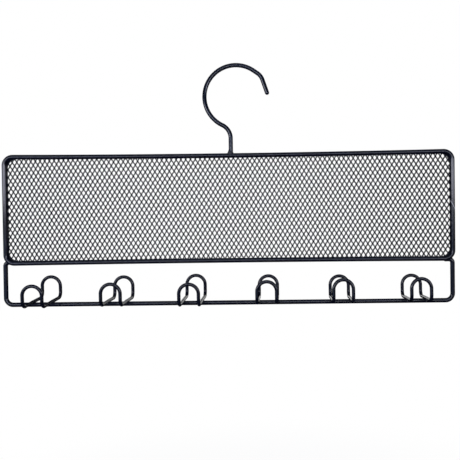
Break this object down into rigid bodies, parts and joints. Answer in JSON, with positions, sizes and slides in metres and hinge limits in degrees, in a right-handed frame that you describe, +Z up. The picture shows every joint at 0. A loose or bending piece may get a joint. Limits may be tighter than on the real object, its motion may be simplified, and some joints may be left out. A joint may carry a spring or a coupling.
{
  "type": "hanging jewelry organizer",
  "caption": "Hanging jewelry organizer: a wire-framed expanded-metal earring panel on a closet hanger hook, with a lower rail of double necklace hooks.",
  "frame": {"origin": "inside crown of the hanger hook, where it rests on the top of a closet rod", "axes": "+X along the panel, towards the open side of the hanger hook; +Y from the panel's front to its back, along the closet rod; +Z up"},
  "size_m": [0.4228, 0.0536, 0.2245],
  "materials": {
    "wire_coat": "satin black baked coat on steel wire",
    "mesh_coat": "satin black baked coat on expanded steel sheet"
  },
  "bodies": {
    "root": {"hanger_hook": "wire_coat", "panel_ring": "wire_coat", "mesh_sheet": "mesh_coat", "hook_rail": "wire_coat", "double_hook_1": "wire_coat", "double_hook_2": "wire_coat", "double_hook_3": "wire_coat", "double_hook_4": "wire_coat", "double_hook_5": "wire_coat", "double_hook_6": "wire_coat"}
  },
  "joints": []
}
